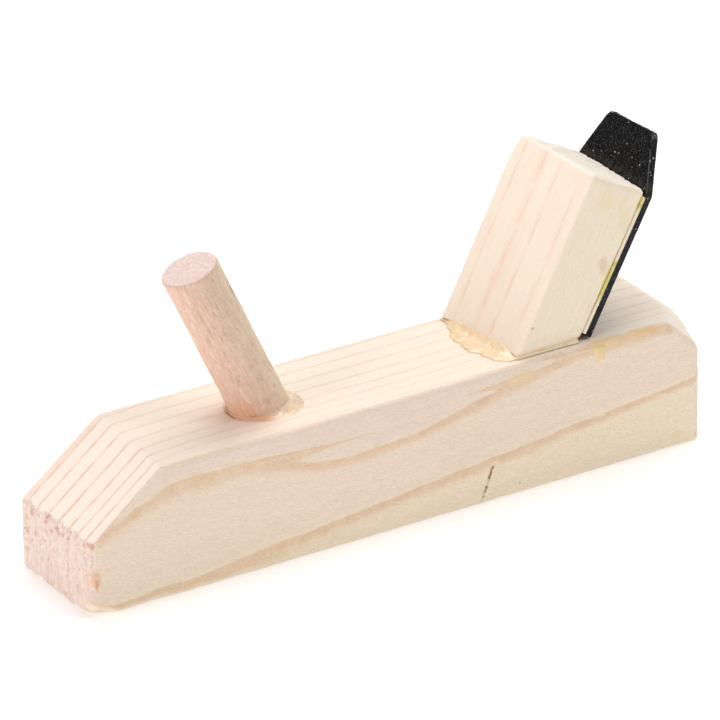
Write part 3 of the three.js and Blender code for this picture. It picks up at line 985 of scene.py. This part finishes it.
def wedge_marks(paint, wood):
    """A pinhole, a brown dent and glue stains on the near side, and a darker foot round the rest."""
    x, y, z = paint.x, paint.y, paint.z
    near = fade(WEDGE_SIDE + 0.35, WEDGE_SIDE + 0.65, y)
    ragged = paint.noise(x * 1.8, y, z * 1.8, detail=4.0, rough=0.65, seed=46) * 0.7
    for colour, strength, middle_x, middle_z, wide, tall in WEDGE_SPOTS:
        across, up = (x - middle_x) / wide, (z - middle_z) / tall
        away = (across * across + up * up).math("SQRT") + ragged
        wood = paint.mix(fade(0.4, 1.3, away) * near * strength, wood, colour)
    reach = yellow_share(z) * 0.4 + 0.1 + ragged * 0.1
    yellowed = fade(0.0, 0.12, above(IRON_FRONT, x, y, z) - reach)
    wood = paint.mix(yellowed * near * 0.8, wood, srgb(238, 222, 150))
    foot = fade(TOP_Z + 0.2, TOP_Z + 0.4, z) * (1.0 - near)
    return paint.mix(foot * 0.6, wood, srgb(190, 150, 112))


def iron_black(paint):
    """Black paint, thick with fine dust and scattered with brighter specks."""
    x, y, z = paint.x, paint.y, paint.z
    cloudy = smooth_step(-1.0, 1.0, paint.noise(x * 1.5, y * 1.5, z * 1.5, detail=4.0, seed=51))
    black = paint.mix(cloudy, srgb(7, 7, 7), srgb(15, 14, 14))
    dust = paint.spots(x * 5.5, y * 5.5, z * 5.5, 0.33) * 0.24
    crowd = smooth_step(-0.4, 0.3, paint.noise(x * 0.5, y * 0.5, z * 0.5, seed=52))
    specks = paint.spots(x * 1.9, y * 1.9, z * 1.9, 0.17) * crowd
    return paint.mix(specks * 0.9, paint.mix(dust, black, srgb(150, 150, 150)), srgb(215, 215, 212))


def iron_paint():
    """The iron: a grey near edge that is partly bare worn metal and partly a painted highlight, and a dusty
    strip just above the wedge.
    """
    paint = Paint("iron")
    x, y, z = paint.x, paint.y, paint.z
    _, north, _ = paint.normal()
    lit = smooth_step(-0.6, 0.3, paint.noise(x * 1.5, y, z * 1.5, detail=3.0, seed=54))
    # Painted highlight in patches: lighter grey on the rounded edge between the front and the near side, and
    # dim grey on the near side, which is partly bare sheared metal.
    colour = paint.mix(hump(-0.62, 0.3, north) * lit * 0.7, iron_black(paint), srgb(120, 120, 128))
    colour = paint.mix(smooth_step(0.85, 0.97, -north) * (0.1 + 0.4 * lit), colour, srgb(58, 54, 62))
    dusty = smooth_step(-0.5, 0.4, paint.noise(x * 2.0, y * 2.0, z * 2.0, detail=4.0, seed=55))
    by_wedge = hump(0.15, 0.75, above(WEDGE_TOP, x, y, z))
    colour = paint.mix(by_wedge * dusty * 0.45, colour, srgb(86, 82, 76))
    rough = paint.noise(x * 4.0, y * 4.0, z * 4.0, detail=3.0, seed=53)
    return paint.finish(colour, 0.45, rough, 0.02, Specular_IOR_Level=0.12)


def glue(name, thin, thick, *stains):
    """Set glue: glossy and cloudy between two tones. Each stain is (a share formula, a tone)."""
    paint = Paint(name)
    x, y, z = paint.x, paint.y, paint.z
    cloud = paint.noise(x * 1.4, y * 1.4, z * 1.4, detail=3.0, seed=61)
    colour = paint.mix(smooth_step(-0.8, 0.8, cloud), thin, thick)
    for share, tone in stains:
        colour = paint.mix(share(x, y, z, cloud), colour, tone)
    ripple = paint.noise(x * 1.2, y * 1.2, z * 1.2, detail=1.0, seed=62)
    return paint.finish(colour, 0.2, ripple, 0.05, Coat_Weight=0.4)


def knob_glue_browned(x, y, z, cloud):
    """The glue at the knob's foot has browned towards the nose."""
    return fade(-0.5, 1.3, x - KNOB_FOOT[0] - y * 0.3 + cloud * 0.8)


def beside_wedge(x, y, z, cloud):
    """The thin fillet along the wedge's near side looks like wood."""
    return fade(WEDGE_SIDE - 0.04, WEDGE_SIDE + 0.02, y)


def bead_browned(x, y, z, cloud):
    """A broken brown line along the bead's rim, and another along the foot of the near fillet."""
    outline = fade(0.0, 0.16, x - bead_rim(y)) * smooth_step(-0.3, 0.3, cloud) * 0.32
    beside = beside_wedge(x, y, z, cloud)
    foot_line = beside * fade(0.04, 0.09, z - TOP_Z + cloud * 0.05) * 0.6
    return outline * (1.0 - beside) + foot_line


def film_unstained(x, y, z, cloud):
    """The film beside the iron looks like wood, except where glue was squeezed out yellow."""
    return fade(0.1, 0.7, yellow_share(z) + cloud * 0.3)


# ---------------- the pieces

piece("body", ["body_block"], body_wood(), body_distance, body_grid())
piece("knob", ["front_knob"], knob_wood(), knob_distance,
      grid_over(["front_knob"], (0.1, 0.1, 0.14), turn_about_y(KNOB_WAY)))
piece("wedge", ["wedge_block"], wedge_wood(), wedge_distance,
      grid_over(["wedge_block"], (0.11, 0.1, 0.14), turn_about_y(IRON_WAY)))
piece("iron", ["plane_iron"], iron_paint(), iron_distance,
      grid_over(["plane_iron"], (0.08, 0.11, 0.11), turn_about_y(IRON_WAY)))
piece("knob_fillet", ["knob_glue"],
      glue("clear_glue", srgb(252, 230, 200), srgb(240, 208, 172), (knob_glue_browned, srgb(230, 180, 142))),
      knob_glue_distance, grid_over(["knob_glue"], (0.07, 0.07, 0.07)))
piece("wedge_bead", ["wedge_glue"],
      glue("amber_glue", srgb(251, 226, 190), srgb(246, 210, 164),
           (beside_wedge, srgb(250, 234, 208)), (bead_browned, srgb(188, 140, 104))),
      wedge_glue_distance, grid_over(["wedge_glue"], (0.07, 0.07, 0.05)))
piece("iron_film", ["iron_glue"],
      glue("yellow_glue", srgb(232, 220, 140), srgb(206, 186, 96), (film_unstained, srgb(242, 226, 200))),
      iron_glue_distance, grid_over(["iron_glue"], (0.06, 0.1, 0.1), turn_about_y(IRON_WAY)))
piece("drip", ["glue_drip"], glue("drip_glue", srgb(240, 214, 160), srgb(236, 206, 150)),
      drip_distance, grid_over(["glue_drip"], (0.05, 0.025, 0.05)))


# ---------------- studio

# Where the camera stands: angles about the point it looks at, and its distance in mm.
AZIMUTH = math.radians(-31.84)
ELEVATION = math.radians(25.86)
ROLL = math.radians(-0.67)
DISTANCE = 559.4
LOOK_AT = Vector((-0.47, 0, 13.31))
SENSOR, LENS = 36, 336
FLOOR_HALF = 3.0  # metres, half the floor's side


def add_camera():
    data = bpy.data.cameras.new("camera")
    data.sensor_width = SENSOR
    data.lens = LENS
    camera = bpy.data.objects.new("camera", data)
    level = math.cos(ELEVATION)
    back = Vector((math.sin(AZIMUTH) * level, -math.cos(AZIMUTH) * level, math.sin(ELEVATION)))
    camera.location = (LOOK_AT + back * DISTANCE) * MM
    aimed = back.to_track_quat("Z", "Y")
    camera.rotation_euler = (aimed.to_matrix() @ Matrix.Rotation(ROLL, 3, "Z")).to_euler()
    bpy.context.scene.collection.objects.link(camera)
    bpy.context.scene.camera = camera


def softbox(name, direction, distance, size, watts):
    """A square area light that looks at the object from a direction; sizes in mm."""
    data = bpy.data.lights.new(name, "AREA")
    data.shape = "SQUARE"
    data.size = size * MM
    data.energy = watts
    lamp = bpy.data.objects.new(name, data)
    way = Vector(direction).normalized()
    lamp.location = (LOOK_AT + way * distance) * MM
    lamp.rotation_euler = way.to_track_quat("Z", "Y").to_euler()
    bpy.context.scene.collection.objects.link(lamp)


def floor_paper():
    """White paper with a faint tooth. A weak glow of its own keeps it white out to the horizon."""
    paint = Paint("floor")
    tooth = paint.noise(paint.x * 0.5, paint.y * 0.5, paint.z)
    settings = {"Specular_IOR_Level": 0.0, "Emission_Color": (1, 1, 1, 1), "Emission_Strength": 0.22}
    return paint.finish(srgb(254, 254, 254), 0.9, tooth, 0.002, **settings)


def add_floor():
    mesh = bpy.data.meshes.new("floor")
    corners = [(-FLOOR_HALF, -FLOOR_HALF, 0), (FLOOR_HALF, -FLOOR_HALF, 0),
               (FLOOR_HALF, FLOOR_HALF, 0), (-FLOOR_HALF, FLOOR_HALF, 0)]
    mesh.from_pydata(corners, [], [(0, 1, 2, 3)])
    mesh.materials.append(floor_paper())
    floor = bpy.data.objects.new("floor", mesh)
    floor.location.z = -0.02 * MM
    bpy.context.scene.collection.objects.link(floor)


def add_world():
    world = bpy.data.worlds.new("world")
    world.use_nodes = True
    background = world.node_tree.nodes["Background"]
    background.inputs["Color"].default_value = (1, 1, 1, 1)
    background.inputs["Strength"].default_value = 0.3
    bpy.context.scene.world = world


add_camera()
softbox("overhead", (0.3, 0.35, 1.0), 700, 600, 3.4)
softbox("window", (0.5, -0.5, 1.0), 700, 180, 0.85)
softbox("nose_fill", (-1.0, -0.1, 0.3), 700, 450, 2.25)
add_floor()
add_world()
bpy.context.scene.view_settings.view_transform = "Standard"
